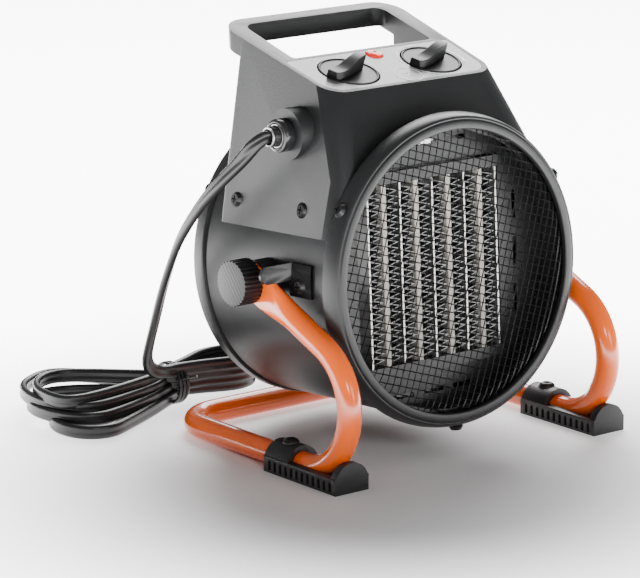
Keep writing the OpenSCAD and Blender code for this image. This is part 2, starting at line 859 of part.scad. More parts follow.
module terminal_block() {
    color("#ece8dc") in_heater() translate([-17, 58, drum_r + 1]) difference() {
        cube([34, 15, 12]);
        for (i = [0:2]) translate([6 + 11 * i, 7.5, 4]) cylinder(d = 4, h = 10);
    }
}

// ---------- cable gland ----------

module gland_body() {
    color("#1a1a1b") in_heater() mirror([1, 0, 0]) difference() {
        union() {
            to_right(boss_x - 20, gland_y, gland_z) cylinder(d = gland_bore_d - 2 * slip, h = 20 + nut_l - 3);
            to_right(boss_x - 22, gland_y, gland_z) cylinder(d = gland_bore_d + 5, h = 3.4);
        }
        to_right(boss_x - 30, gland_y, gland_z) cylinder(d = relief_d + 1, h = 60);
    }
}

module gland_nut() {
    color("#1a1a1b") in_heater() mirror([1, 0, 0]) difference() {
        to_right(boss_x + slip, gland_y, gland_z) cylinder(d = nut_d, h = nut_l);
        to_right(boss_x - 1, gland_y, gland_z) cylinder(d = gland_bore_d, h = nut_l - 1.9);
        to_right(boss_x - 1, gland_y, gland_z) cylinder(d = relief_d + 1.6, h = nut_l + 4);
    }
}

module strain_relief() {
    color("#2e2e30") in_heater() mirror([1, 0, 0]) difference() {
        to_right(relief_in, gland_y, gland_z)
            cylinder(d1 = relief_d + 0.9, d2 = relief_d - 0.4, h = relief_out - relief_in);
        to_right(relief_in - 1, gland_y, gland_z) cord_section(60, slip);
    }
}

// The flat cord's outline, two round lobes with a web, standing upright.
module cord_section(l, extra = 0) {
    lobe = (cord_w - cord_t) / 2;
    for (side = [-1, 1]) translate([side * lobe, 0, 0]) cylinder(d = cord_t + 2 * extra, h = l);
    translate([-lobe, -cord_t / 2 - extra, 0]) cube([2 * lobe, cord_t + 2 * extra, l]);
}

// ---------- heating core ----------

module core_plates() {
    color("#c9cbcc") in_heater()
        for (i = [0:core_columns])
            translate([-core_w / 2 + column_pitch * i, core_y, -core_h / 2])
                cube([core_plate_t, core_t, core_h]);
}

module core_strips() {
    color("#d9cfbd") in_heater()
        for (i = [0:core_columns - 1])
            translate([column_x(i) - strip_w / 2, core_y, -core_h / 2]) cube([strip_w, core_t, core_h]);
}

function column_x(i) = -core_w / 2 + core_plate_t + column_pitch * (i + 0.5) - core_plate_t / 2;

// One folded ribbon, seen from the front: a zigzag up the core.
module fin_ribbon() {
    folds = floor((core_h - 2) / fin_pitch);
    half = fin_t / 2 / sin(atan(fin_pitch / 2 / fin_w));
    line = [for (i = [0:2 * folds]) [(i % 2 == 0 ? -1 : 1) * (fin_w / 2 - half), (i - folds) * fin_pitch / 2]];
    rotate([90, 0, 0]) translate([0, 0, -core_t / 2 + 1]) linear_extrude(core_t - 2)
        polygon(concat([for (p = line) p + [half, 0]], [for (i = [2 * folds:-1:0]) line[i] - [half, 0]]));
}

module core_fins() {
    color("#3a3a3c") in_heater()
        for (i = [0:core_columns - 1], side = [-1, 1])
            translate([column_x(i) + side * (strip_w / 2 + stub + fin_w / 2), core_y + core_t / 2, 0]) fin_ribbon();
}

module core_bars() {
    color("#1c1c1d") in_heater()
        for (side = [-1, 1])
            translate([-core_w / 2 - 4, core_y, side * (core_h / 2 + gap + core_bar_h / 2) - core_bar_h / 2])
                cube([core_w + 8, core_t, core_bar_h]);
}

// Plate that carries the core and closes the drum around it, with cooling slots.
module baffle() {
    color("#1c1c1d") in_heater() difference() {
        union() {
            along_drum(baffle_y) cylinder(r = baffle_r, h = baffle_t);
            intersection() {
                along_drum(baffle_y - baffle_tab_l) pipe(baffle_r, baffle_r - 1.5, baffle_tab_l);
                for (a = baffle_screws_at)
                    radial(a, baffle_screw_y, 0) translate([-6, -6, 0]) cube([12, 12, drum_r]);
            }
        }
        for (a = baffle_screws_at)
            radial(a, baffle_screw_y, drum_r - 10) cylinder(d = 3 + gap, h = 20);
        translate([-core_w / 2 - 5, baffle_y - 2, -core_h / 2 - core_bar_h - 1])
            cube([core_w + 10, 5, core_h + 2 * core_bar_h + 2]);
        for (side = [-1, 1], x = [-24, 0, 24])
            translate([x - 8, baffle_y - 2, side * slot_r - 1.5]) cube([16, 5, 3]);
        for (side = [-1, 1], z = [-30, 0, 30])
            translate([side * (slot_r - 8) - 1.5, baffle_y - 2, z - 9]) cube([3, 5, 18]);
    }
}

module baffle_screws() {
    color("#1f1f21") in_heater()
        for (a = baffle_screws_at)
            radial(a, baffle_screw_y, drum_r + slip) screw(3, 4, 7, 1.8);
}

// ---------- fan ----------

module fan_duct() {
    color("#9a9c9e") in_heater() {
        along_drum(duct_y) pipe(duct_r, duct_r - 0.8, duct_l);
        along_drum(duct_y + duct_l - 1) pipe(baffle_r, duct_r - 0.8, 1);
    }
}

module fan_blades() {
    color("#8d8f91") in_heater() along_drum(fan_y) difference() {
        union() {
            cylinder(d = hub_d, h = fan_l - 4);
            for (i = [0:blades - 1])
                rotate([0, 0, 360 * i / blades])
                    intersection() {
                        translate([hub_d / 2 - 3, 0, fan_l / 2])
                            rotate([32, 0, 0])
                                translate([0, -24, -0.6]) cube([(fan_d - hub_d) / 2 + 3, 48, 1.2]);
                        cylinder(d = fan_d, h = fan_l);
                    }
        }
        translate([0, 0, -1]) cylinder(d = motor_shaft_d, h = fan_l + 2);
    }
}

module motor_shaft() {
    color("#b8babc") in_heater() along_drum(fan_y - 6)
        cylinder(d = motor_shaft_d, h = motor_front - fan_y + 6 + motor_l - 4);
}

module fan_motor() {
    color("#55575a") in_heater() along_drum(motor_front) difference() {
        union() {
            cylinder(d = motor_d, h = motor_l);
            translate([0, 0, -4]) cylinder(d = motor_d * 0.4, h = 5);
        }
        translate([0, 0, -10]) cylinder(d = motor_shaft_d + 2 * slip, h = motor_l + 8);
        for (a = [45:90:315]) rotate([0, 0, a]) translate([motor_d / 2 - 5, 0, motor_l - 6]) cylinder(d = 3, h = 10);
    }
}

// Strap across the drum that the motor hangs from.
module motor_bracket() {
    y = motor_front + motor_l + slip;
    color("#3c3d3f") in_heater() difference() {
        union() {
            along_drum(y) cylinder(d = motor_d + 8, h = bracket_t);
            intersection() {
                along_drum(y) cylinder(r = baffle_r, h = bracket_t);
                for (a = [30, 90, 150]) translate([0, y, 0]) rotate([0, a, 0])
                    translate([-baffle_r, 0, -8]) cube([2 * baffle_r, bracket_t, 16]);
            }
        }
        along_drum(y - 1) {
            cylinder(d = 16, h = 10);
            for (a = [45:90:315]) rotate([0, 0, a]) translate([motor_d / 2 - 5, 0, 0]) cylinder(d = 3 + gap, h = 10);
        }
    }
}

module motor_screws() {
    color("#b8babc") in_heater() along_drum(motor_front + motor_l + slip + bracket_t)
        for (a = [45:90:315]) rotate([0, 0, a]) translate([motor_d / 2 - 5, 0, slip])
            screw(3 - 2 * slip, 6, 6, 1.6);
}

// ---------- cord ----------

module cord_end() {
    color("#141415") in_heater() mirror([1, 0, 0])
        to_right(boss_x - 12, gland_y, gland_z) cord_section(-cord_route[0][0] - 4 * gap - boss_x + 12);
}

function unit(v) = v / norm(v);
function heading(i) = unit(cord_route[min(i + 1, len(cord_route) - 1)] - cord_route[max(i - 1, 0)]);
function broad(i) = i == 0 ? [0, 0, 1] : unit(cross([1, 0, 0.2], heading(i)));
function thin(i) = i == 0 ? [0, -1, 0] : unit(cross(broad(i), heading(i)));

module cord_drop() {
    sides = 10;
    rings = len(cord_route);
    points = [for (i = [0:rings - 1], k = [0:sides - 1])
        cord_route[i] + cos(360 * k / sides) * cord_w / 2 * broad(i) + sin(360 * k / sides) * cord_t / 2 * thin(i)];
    color("#141415") polyhedron(points, concat(
        [[for (k = [0:sides - 1]) k]],
        [for (i = [0:rings - 2], k = [0:sides - 1], half = [0, 1])
            let (a = i * sides, n = (k + 1) % sides)
                half == 0 ? [a + n, a + k, a + k + sides] : [a + n, a + k + sides, a + n + sides]],
        [[for (k = [sides - 1:-1:0]) (rings - 1) * sides + k]]));
}

module hank_outline() {
    hull() {
        translate([-122, 152]) circle(r = 54, $fn = 48);
        translate([-70, 138]) circle(r = 16, $fn = 48);
    }
    hull() {
        translate([-70, 138]) circle(r = 16, $fn = 48);
        translate([-22, 142]) circle(r = 24, $fn = 48);
    }
}

module cord_hank() {
    last = cord_route[len(cord_route) - 1];
    color("#141415") difference() {
        linear_extrude(hank_h) difference() {
            hank_outline();
            translate([tie_x, 100]) square([tie_w, 80]);
        }
        translate([last[0], last[1], last[2] - 2.1]) cylinder(d = 12, h = hank_h);
    }
}

module hank_tie() {
    color("#0f0f10") linear_extrude(hank_h + 1) intersection() {
        translate([tie_x + slip, 100]) square([tie_w - 2 * slip, 80]);
        hank_outline();
    }
}

module plug_body() {
    color("#171718") translate([plug_x, plug_y, 0]) {
        hull() {
            translate([0, -6, 5]) cube([1, 12, 9]);
            translate([14, -13, 0]) cube([18, 26, 20]);
        }
    }
}

module plug_pins() {
    color("#c8b273") translate([plug_x + 32 + slip, plug_y, 10]) {
        for (side = [-1, 1]) translate([0, side * 6.35 - 3.2, 1.5]) cube([16, 6.4, 1.5]);
        translate([0, 0, -5]) rotate([0, 90, 0]) cylinder(d = 4.8, h = 19);
    }
}

stand_tube();
left_foot();
right_foot();
foot_screws();
drum_shell();
front_bezel();
front_guard();
back_ring();
back_grille();
upper_housing();
control_plate();
lamp_lens();
lamp_holder();
gland_nut();
gland_body();
strain_relief();
pivot_studs();
pivot_spacers();
left_thumb_knob();
right_thumb_knob();
stop_tabs();
tab_screws();
skirt_screws();
bezel_screws();
ring_screws();
baffle_screws();
core_plates();
core_strips();
core_fins();
core_bars();
baffle();
fan_duct();
fan_blades();
motor_shaft();
fan_motor();
motor_bracket();
motor_screws();
power_knob();
power_shaft();
power_switch();
heat_knob();
heat_shaft();
thermostat();
thermal_cutout();
terminal_block();
cord_end();
cord_drop();
cord_hank();
hank_tie();
plug_body();
plug_pins();
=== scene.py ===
import math

import bmesh
import bpy
from mathutils import Matrix, Vector


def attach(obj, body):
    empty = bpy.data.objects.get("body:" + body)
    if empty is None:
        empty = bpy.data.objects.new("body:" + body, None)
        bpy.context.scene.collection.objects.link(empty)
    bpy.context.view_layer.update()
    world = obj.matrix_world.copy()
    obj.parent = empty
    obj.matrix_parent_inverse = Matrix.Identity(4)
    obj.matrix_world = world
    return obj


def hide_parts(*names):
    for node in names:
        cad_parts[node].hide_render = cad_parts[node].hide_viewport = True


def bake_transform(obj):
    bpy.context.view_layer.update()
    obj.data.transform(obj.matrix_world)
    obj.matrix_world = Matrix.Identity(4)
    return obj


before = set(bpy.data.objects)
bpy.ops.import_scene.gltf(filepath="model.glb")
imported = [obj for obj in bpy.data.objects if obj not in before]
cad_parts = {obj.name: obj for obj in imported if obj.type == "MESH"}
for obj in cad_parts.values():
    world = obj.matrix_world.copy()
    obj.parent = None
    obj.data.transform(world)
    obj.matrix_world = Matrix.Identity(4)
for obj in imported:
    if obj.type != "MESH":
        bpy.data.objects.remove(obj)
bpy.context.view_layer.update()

# ---------------------------------------------------------------- sizes, in millimetres
TILT = 3.5
PIVOT = (0, 6, 113.5)
PIVOT_LOCAL = (0, 70.5, 2)
TOP_SLOPE = 18.7
TOP_EDGE = (0, 36.5, 114.5)
SIDE_X = 104.5
TUBE_D = 15
BEND_R = 40
REAR_BEND_R = 28
BEND_Y = -46.5
REST_Z = 7.6
CROSS_Y = 86.5
STRAP_W = 24
STRAP_T = 4
DRUM_R = 93.3
DRUM_FRONT = 4.2
DRUM_BACK = 134.5
DRUM_WALL = 1
FOOT_SCREW = (-30, 17.9)
LAMP = (1.3, 43, 0)
GLAND = (0, 60, 90)
KNOB_X = 33
KNOB_S = 25.3
KNOB_TURN = -70
CORD_W = 9
CORD_T = 5

HEATER = (
    Matrix.Translation(PIVOT)
    @ Matrix.Rotation(math.radians(-TILT), 4, "X")
    @ Matrix.Translation([-v for v in PIVOT_LOCAL])
)
TOP = HEATER @ Matrix.Translation(TOP_EDGE) @ Matrix.Rotation(math.radians(TOP_SLOPE), 4, "X")
ALONG_DRUM = Matrix.Rotation(math.radians(-90), 4, "X")
WORLD = Matrix.Identity(4)


# ---------------------------------------------------------------- camera and room
def place_camera():
    bpy.ops.object.camera_add(location=(-1.4451, -1.7417, 0.6469))
    camera = bpy.context.object
    aim = Vector((-0.05725, 0.0012, 0.10126)) - camera.location
    camera.rotation_euler = aim.to_track_quat("-Z", "Y").to_euler()
    camera.data.sensor_width = 36
    camera.data.lens = 208.7
    camera.data.clip_end = 20
    bpy.context.scene.camera = camera
    return camera


place_camera()


# ---------------------------------------------------------------- the cord
def smooth_line(knots, step):
    """Points a given step apart on a smooth curve through the knots."""
    knots = [Vector(k) for k in knots]
    knots = [2 * knots[0] - knots[1]] + knots + [2 * knots[-1] - knots[-2]]
    dense = []
    for a, b, c, d in zip(knots, knots[1:], knots[2:], knots[3:]):
        for i in range(24):
            t = i / 24
            dense.append(
                b
                + 0.5 * (c - a) * t
                + 0.5 * (2 * a - 5 * b + 4 * c - d) * t**2
                + 0.5 * (3 * b - a - 3 * c + d) * t**3
            )
    dense.append(knots[-2])
    line, left = [dense[0]], step
    for a, b in zip(dense, dense[1:]):
        length = (b - a).length
        while length >= left:
            a = a.lerp(b, left / length)
            line.append(a)
            length = (b - a).length
            left = step
        left -= length
    return line


def relax(line, rounds, held):
    """Evens out a line's bends, leaving its held points in place."""
    for _ in range(rounds):
        line = [
            p if i < held or i >= len(line) - 2 else (line[i - 1] + line[i + 1]) / 4 + p / 2
            for i, p in enumerate(line)
        ]
    return line


DROP = [
    (-84, 0.9, 202), (-94, 0.9, 202), (-98.5, 1, 202), (-103, 1.6, 201.3), (-105.6, 4.6, 198),
    (-108, 10, 190), (-111, 20, 180), (-113, 32, 169), (-113, 46, 157), (-113, 60, 142),
    (-113, 72, 127), (-112, 83, 109), (-111, 93, 90), (-108, 105, 68), (-104.5, 117, 48),
    (-101, 124.5, 36), (-96, 127, 29.5), (-88, 127, 26),
]


def hank_turns():
    """The cord from the foot of its drop through the hank to the plug.

    Each turn goes out on the right and comes back on the left.
    """
    line = []
    turns = [
        (
            20.5,
            [
                (-158, 122, 20), (-166, 143, 20), (-159, 166, 20), (-142, 181, 20),
                (-121, 178, 19.5),
            ],
            25,
            0,
        ),
        (
            15,
            [
                (-147, 117, 15), (-162, 130, 15), (-167, 152, 15), (-160, 179, 15),
                (-142, 196, 15), (-116, 198, 15),
            ],
            20,
            6,
        ),
        (
            10,
            [
                (-143, 110, 10), (-159, 116, 10), (-168, 138, 10), (-165, 164, 10),
                (-148, 179, 10), (-122, 175, 9.5),
            ],
            15,
            12,
        ),
        (
            5,
            [
                (-134, 103, 5), (-148, 97, 5), (-161, 101, 5), (-168.5, 113, 5),
                (-167, 135, 5), (-150, 154, 5), (-120, 158, 5),
            ],
            10,
            17,
        ),
    ]
    for index, (low, left_loop, high, shift) in enumerate(turns):
        line += [
            (-74, 131 + shift * 0.5, high),
            (-52, 127 + shift * 0.3, high),
            (-36, 122.5 + index, high),
            (-24, 121 + index, high),
            (-11, 127 + index, high),
            (-6, 140, high - 1),
            (-11, 153 - index, low + 3),
            (-24, 159 - index, low + 2),
            (-36, 157.5 - index, low + 2),
            (-52, 149 - index * 1.5, low + 2),
            (-74, 141 - index * 2, low + 1),
            (-98, 131 - index * 3, low),
        ]
        line += left_loop
    line += [
        (-98, 148, 10), (-74, 147, 14), (-52, 146, 17), (-30, 142, 17),
        (-14, 140, 14), (-6, 141, 11), (2.5, 142, 10),
    ]
    return line


CORD_STEP = 3.2
cord_line = smooth_line(DROP + hank_turns(), CORD_STEP)
cord_line = relax(cord_line, 6, 6)


def cord_side(line, i):
    """Which way the flat cord's two lobes lie at a point: one above the other, or across its drop."""
    ahead = (line[min(i + 1, len(line) - 1)] - line[max(i - 1, 0)]).normalized()
    up = Vector((0, 0, 1))
    across = Vector((0.25, -0.35, 1)) if i < 8 else Vector((0.35, -0.2, 1))
    wish = across if i < 80 else up
    side = wish - ahead * wish.dot(ahead)
    return ahead, side.normalized()


def two_lobes(steps):
    """The flat cord's outline: two round lobes and the shallow groove between them."""
    shape = []
    lobe = (CORD_W - CORD_T) / 2 + 0.15
    radius = CORD_T / 2 - 0.05
    reach = math.radians(128)
    for centre, turn in ((lobe, 0), (-lobe, math.pi)):
        for k in range(steps):
            a = turn - reach + 2 * reach * k / (steps - 1)
            shape.append((centre + radius * math.cos(a), radius * math.sin(a)))
    return shape


def flat_cord(name, line):
    shape = two_lobes(9)
    sides = len(shape)
    net = bmesh.new()
    held = None
    rings = []
    for i, point in enumerate(line):
        ahead, side = cord_side(line, i)
        if held is not None:
            side = (side * 0.25 + held * 0.75)
            side = (side - ahead * side.dot(ahead)).normalized()
        held = side
        thin = ahead.cross(side)
        rings.append([net.verts.new((point + side * u + thin * v) / 1000) for u, v in shape])
    for a, b in zip(rings, rings[1:]):
        for k in range(sides):
            n = (k + 1) % sides
            net.faces.new((a[k], a[n], b[n], b[k]))
    net.faces.new(rings[0][::-1])
    net.faces.new(rings[-1])
    bmesh.ops.recalc_face_normals(net, faces=net.faces)
    mesh = bpy.data.meshes.new(name)
    net.to_mesh(mesh)
    net.free()
    cord = bpy.data.objects.new(name, mesh)
    bpy.context.collection.objects.link(cord)
    for face in mesh.polygons:
        face.use_smooth = True
    return cord


cord = flat_cord("mains_cord", cord_line)
cord_length = sum((b - a).length for a, b in zip(cord_line, cord_line[1:])) / 1000
print("cord length", round(cord_length, 3), "m")


# ---------------------------------------------------------------- working by hand
def fresh():
    if bpy.context.object and bpy.context.object.mode != "OBJECT":
        bpy.ops.object.mode_set(mode="OBJECT")
    bpy.ops.object.select_all(action="DESELECT")


def settle(piece, name, body, material, place=HEATER, angle=35):
    """Brings a piece from millimetres to its place in metres, and gives it its body and finish."""
    fresh()
    piece.name = name
    piece.data.name = name
    piece.select_set(True)
    bpy.context.view_layer.objects.active = piece
    piece.matrix_world = Matrix.Scale(0.001, 4) @ place @ piece.matrix_world
    bpy.ops.object.transform_apply(location=True, rotation=True, scale=True)
    if angle:
        bpy.ops.object.shade_smooth_by_angle(angle=math.radians(angle))
    piece.data.materials.clear()
    piece.data.materials.append(material)
    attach(piece, body)
    return piece


def apply_all(piece):
    fresh()
    piece.select_set(True)
    bpy.context.view_layer.objects.active = piece
    for modifier in list(piece.modifiers):
        bpy.ops.object.modifier_apply(modifier=modifier.name)


def bevelled(piece, width, segments=2, angle=30):
    bevel = piece.modifiers.new("edges", "BEVEL")
    bevel.width = width
    bevel.segments = segments
    bevel.limit_method = "ANGLE"
    bevel.angle_limit = math.radians(angle)
    bevel.harden_normals = False
    apply_all(piece)
    return piece


def turned(profile, steps=96, close=True):
    """A lathe-turned shape about the z axis, from points of radius and height."""
    fresh()
    bpy.ops.mesh.primitive_plane_add(size=1)
    piece = bpy.context.object
    bpy.ops.object.mode_set(mode="EDIT")
    bpy.ops.mesh.select_all(action="SELECT")
    bpy.ops.mesh.merge(type="CENTER")
    net = bmesh.from_edit_mesh(piece.data)
    net.verts.ensure_lookup_table()
    start = net.verts[0]
    start.co = (profile[0][0], 0, profile[0][1])
    start.select = True
    bmesh.update_edit_mesh(piece.data)
    for (r0, z0), (r1, z1) in zip(profile, profile[1:]):
        bpy.ops.mesh.extrude_region_move(TRANSFORM_OT_translate={"value": (r1 - r0, 0, z1 - z0)})
    if close:
        bpy.ops.mesh.select_all(action="SELECT")
        net = bmesh.from_edit_mesh(piece.data)
        ends = [v for v in net.verts if len(v.link_edges) == 1]
        bpy.ops.mesh.select_all(action="DESELECT")
        for v in ends:
            v.select = True
        bmesh.update_edit_mesh(piece.data)
        bpy.ops.mesh.edge_face_add()
    bpy.ops.mesh.select_all(action="SELECT")
    bpy.ops.mesh.spin(steps=steps, angle=2 * math.pi, center=(0, 0, 0), axis=(0, 0, 1))
    bpy.ops.mesh.select_all(action="SELECT")
    bpy.ops.mesh.remove_doubles(threshold=0.0005)
    bpy.ops.mesh.normals_make_consistent(inside=False)
    bpy.ops.object.mode_set(mode="OBJECT")
    return piece


def even_sides(piece):
    """Shades each broad side of the housing as one soft face."""
    mesh = piece.data
    turn = HEATER.inverted().to_3x3()
    normals = [Vector(corner.vector) for corner in mesh.corner_normals]
    for hand in (-1, 1):
        sides = [f for f in mesh.polygons if f.area > 1e-5 and (turn @ f.normal).x * hand > 0.93]
        lead = sum((f.normal * f.area for f in sides), Vector()).normalized()
        for face in sides:
            for corner in face.loop_indices:
                normals[corner] = lead.lerp(normals[corner], 0.12).normalized()
    mesh.normals_split_custom_set(normals)


def join(pieces):
    fresh()
    for piece in pieces:
        piece.select_set(True)
    bpy.context.view_layer.objects.active = pieces[0]
    bpy.ops.object.join()
    return pieces[0]


def moved(piece, matrix):
    piece.matrix_world = matrix @ piece.matrix_world
    fresh()
    piece.select_set(True)
    bpy.context.view_layer.objects.active = piece
    bpy.ops.object.transform_apply(location=True, rotation=True, scale=True)
    return piece


def copied(piece, matrix):
    fresh()
    piece.select_set(True)
    bpy.context.view_layer.objects.active = piece
    bpy.ops.object.duplicate()
    twin = bpy.context.object
    return moved(twin, matrix)


def from_node(node, edge=0.4, segments=2, angle=28):
    """A merged copy of a CAD node, back in millimetres, with its edges eased."""
    fresh()
    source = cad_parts[node]
    source.select_set(True)
    bpy.context.view_layer.objects.active = source
    bpy.ops.object.duplicate()
    piece = bpy.context.object
    piece.parent = None
    piece.matrix_world = Matrix.Scale(1000, 4)
    bpy.ops.object.transform_apply(location=True, rotation=True, scale=True)
    bpy.ops.object.mode_set(mode="EDIT")
    bpy.ops.mesh.select_all(action="SELECT")
    bpy.ops.mesh.remove_doubles(threshold=0.002)
    bpy.ops.mesh.dissolve_limited(angle_limit=math.radians(1.5))
    bpy.ops.object.mode_set(mode="OBJECT")
    if edge:
        bevelled(piece, edge, segments, angle)
    return piece


# ---------------------------------------------------------------- finishes
def new_group(name, inputs, outputs):
    group = bpy.data.node_groups.new(name, "ShaderNodeTree")
    for label, kind, value in inputs:
        socket = group.interface.new_socket(label, in_out="INPUT", socket_type=kind)
        socket.default_value = value
    for label, kind in outputs:
        group.interface.new_socket(label, in_out="OUTPUT", socket_type=kind)
    return group, group.nodes.new("NodeGroupInput"), group.nodes.new("NodeGroupOutput")


def grain_group():
    """Moulded or sprayed surface grain: a height for bump and a value that varies roughness."""
    group, given, out = new_group(
        "surface_grain",
        [
            ("Scale", "NodeSocketFloat", 900.0),
            ("Roughness", "NodeSocketFloat", 0.5),
            ("Spread", "NodeSocketFloat", 0.08),
        ],
        [("Height", "NodeSocketFloat"), ("Roughness", "NodeSocketFloat"), ("Cloud", "NodeSocketFloat")],
    )
    place = group.nodes.new("ShaderNodeTexCoord")
    fine = group.nodes.new("ShaderNodeTexNoise")
    fine.inputs["Detail"].default_value = 2.0
    broad = group.nodes.new("ShaderNodeTexNoise")
    broad.inputs["Scale"].default_value = 22.0
    broad.inputs["Detail"].default_value = 3.0
    centre = group.nodes.new("ShaderNodeMath")
    centre.operation = "SUBTRACT"
    centre.inputs[1].default_value = 0.5
    spread = group.nodes.new("ShaderNodeMath")
    spread.operation = "MULTIPLY_ADD"
    link = group.links.new
    link(place.outputs["Object"], fine.inputs["Vector"])
    link(place.outputs["Object"], broad.inputs["Vector"])
    link(given.outputs["Scale"], fine.inputs["Scale"])
    link(broad.outputs["Fac"], centre.inputs[0])
    link(centre.outputs[0], spread.inputs[0])
    link(given.outputs["Spread"], spread.inputs[1])
    link(given.outputs["Roughness"], spread.inputs[2])
    link(fine.outputs["Fac"], out.inputs["Height"])
    link(spread.outputs[0], out.inputs["Roughness"])
    link(broad.outputs["Fac"], out.inputs["Cloud"])
    return group


GRAIN = grain_group()


def finish(
    name, colour, roughness, metallic=0.0, grain=900.0, bump=0.1, spread=0.1, coat=0.0, second=None,
    shine=0.5,
):
    """A painted, moulded or metal surface with grain in its bump and in its roughness."""
    material = bpy.data.materials.new(name)
    material.use_nodes = True
    nodes, link = material.node_tree.nodes, material.node_tree.links.new
    shader = nodes["Principled BSDF"]
    shader.inputs["Metallic"].default_value = metallic
    shader.inputs["Coat Weight"].default_value = coat
    shader.inputs["Coat Roughness"].default_value = 0.08
    grain_node = nodes.new("ShaderNodeGroup")
    grain_node.node_tree = GRAIN
    grain_node.inputs["Scale"].default_value = grain
    grain_node.inputs["Roughness"].default_value = roughness
    grain_node.inputs["Spread"].default_value = spread
    shader.inputs["Specular IOR Level"].default_value = shine
    raised = nodes.new("ShaderNodeBump")
    raised.inputs["Strength"].default_value = bump
    raised.inputs["Distance"].default_value = 0.0004
    tint = nodes.new("ShaderNodeMix")
    tint.data_type = "RGBA"
    tint.inputs[6].default_value = (*colour, 1)
    tint.inputs[7].default_value = (*(second or [c * 1.25 for c in colour]), 1)
    link(grain_node.outputs["Cloud"], tint.inputs[0])
    link(tint.outputs[2], shader.inputs["Base Color"])
    link(grain_node.outputs["Roughness"], shader.inputs["Roughness"])
    link(grain_node.outputs["Height"], raised.inputs["Height"])
    link(raised.outputs["Normal"], shader.inputs["Normal"])
    return material


CHARCOAL = finish(
    "charcoal_coat", (0.0105, 0.0107, 0.0113), 0.34, grain=1500, bump=0.25, spread=0.12, shine=0.35,
)
HOUSING = finish(
    "charcoal_plastic", (0.0105, 0.0107, 0.0113), 0.4, grain=1300, bump=0.3, spread=0.1, shine=0.3,
)
# Painted highlight: the control plate's light grey stands for light from above falling on the top, which is
# the same charcoal plastic as the body.
PANEL_SHEEN = finish("panel_painted_sheen", (0.12, 0.122, 0.126), 0.28, grain=1300, bump=0.12, spread=0.08)
BLACK = finish("black_coat", (0.008, 0.008, 0.0085), 0.38, grain=1200, bump=0.12)
GUARD = finish("guard_coat", (0.009, 0.009, 0.0095), 0.3, metallic=0.2, grain=900, bump=0.1)
ORANGE = finish(
    "orange_coat", (0.84, 0.118, 0.001), 0.2, grain=420, bump=0.05, spread=0.08, coat=0.5,
    second=(0.78, 0.1, 0.001),
)
RUBBER = finish("foot_rubber", (0.009, 0.009, 0.0095), 0.46, grain=800, bump=0.25, spread=0.15)
KNOB = finish("knob_plastic", (0.0065, 0.0065, 0.007), 0.38, grain=1400, bump=0.2, shine=0.25)
NUT = finish("gland_plastic", (0.01, 0.01, 0.011), 0.2, grain=900, bump=0.06)
SCREW = finish("screw_black", (0.02, 0.02, 0.021), 0.3, metallic=0.6, grain=700, bump=0.1)
STEEL = finish("zinc_steel", (0.55, 0.55, 0.56), 0.32, metallic=1.0, grain=600, bump=0.08)
FIN = finish("fin_metal", (0.16, 0.16, 0.16), 0.35, metallic=0.9, grain=500, bump=0.1, second=(0.1, 0.1, 0.1))
PLATE = finish("plate_metal", (0.42, 0.41, 0.4), 0.34, metallic=0.9, grain=500, bump=0.1)
CERAMIC = finish("ceramic", (0.36, 0.335, 0.3), 0.6, grain=600, bump=0.3, second=(0.5, 0.47, 0.43))
PALE = finish("pale_plastic", (0.72, 0.69, 0.6), 0.45, grain=900, bump=0.1)
CORD = finish("cord_jacket", (0.0075, 0.0075, 0.008), 0.34, grain=300, bump=0.08, spread=0.1)
TIE = finish("tie_coat", (0.01, 0.01, 0.01), 0.3, grain=400, bump=0.1)
PRINT = finish("panel_print", (0.9, 0.91, 0.92), 0.4, grain=1200, bump=0.05)
BRASS = finish("pin_metal", (0.75, 0.62, 0.36), 0.3, metallic=1.0, grain=500, bump=0.06)


def lamp_red():
    material = finish("lamp_red", (0.75, 0.012, 0.008), 0.12, grain=300, bump=0.05)
    shader = material.node_tree.nodes["Principled BSDF"]
    shader.inputs["Emission Color"].default_value = (1, 0.03, 0.015, 1)
    shader.inputs["Emission Strength"].default_value = 0.5
    return material


LAMP_RED = lamp_red()

cord.data.materials.append(CORD)


# ---------------------------------------------------------------- stand
def tube_line():
    """The right half of the tube's centre line, from the middle of the crossbar to past the pivot.

    Also gives the straight leg's start, its direction and its length up to the pivot.
    """
    points = [Vector((0, CROSS_Y, REST_Z)), Vector((SIDE_X - REAR_BEND_R, CROSS_Y, REST_Z))]
    for k in range(1, 13):
        a = math.radians(90 - 90 * k / 12)
        centre = Vector((SIDE_X - REAR_BEND_R, CROSS_Y - REAR_BEND_R, REST_Z))
        points.append(centre + REAR_BEND_R * Vector((math.cos(a), math.sin(a), 0)))
    dy, dz = PIVOT[1] - BEND_Y, PIVOT[2] - REST_Z - BEND_R
    reach = math.hypot(dy, dz)
    slope = math.atan2(dz, dy) - math.asin(BEND_R / reach)
    points.append(Vector((SIDE_X, BEND_Y + 20, REST_Z)))
    for k in range(0, 25):
        a = -math.pi / 2 - (math.pi - slope) * k / 24
        points.append(Vector((SIDE_X, BEND_Y + BEND_R * math.cos(a), REST_Z + BEND_R + BEND_R * math.sin(a))))
    foot = points[-1]
    ahead = Vector((0, math.cos(slope), math.sin(slope)))
    leg = math.sqrt(reach**2 - BEND_R**2)
    for k in range(1, 31):
        points.append(foot + ahead * (leg + STRAP_W / 2 - 0.02) * k / 30)
    return points, foot, ahead, leg


